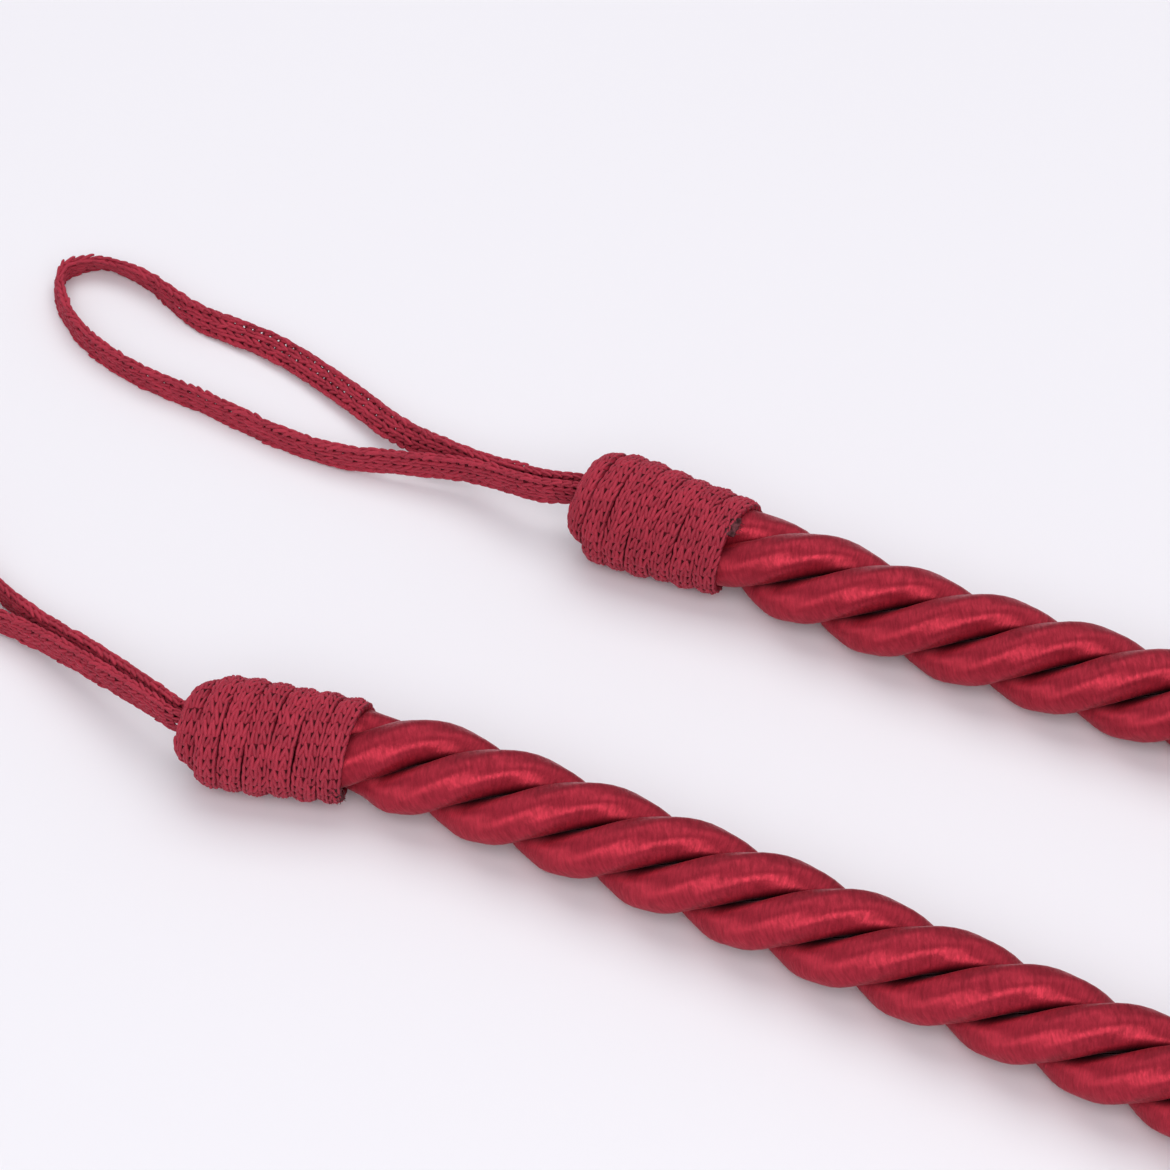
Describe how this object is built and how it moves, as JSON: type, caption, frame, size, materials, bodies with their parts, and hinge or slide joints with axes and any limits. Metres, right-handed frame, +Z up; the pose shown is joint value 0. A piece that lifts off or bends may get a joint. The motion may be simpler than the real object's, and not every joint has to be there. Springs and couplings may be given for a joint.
{
  "type": "curtain tieback",
  "caption": "Twisted satin rope doubled over, with a cord whipping and a flat cord hanging loop at each end, to hold a gathered curtain to a wall hook.",
  "frame": {"origin": "on the surface it lies on, under the middle of the whole part's box", "axes": "+X along the rope's two legs, from the hanging loops to the rope's bend; +Z up from the surface; +Y across, from the near leg to the far leg"},
  "size_m": [0.3362, 0.0766, 0.0127],
  "materials": {
    "satin_rope": "satin, fine silky thread wound across each strand",
    "knitted_cord": "matt knitted cord"
  },
  "bodies": {
    "root": {"rope": "satin_rope", "whipping_near": "knitted_cord", "whipping_far": "knitted_cord", "loop_near": "knitted_cord", "loop_far": "knitted_cord"}
  },
  "joints": []
}
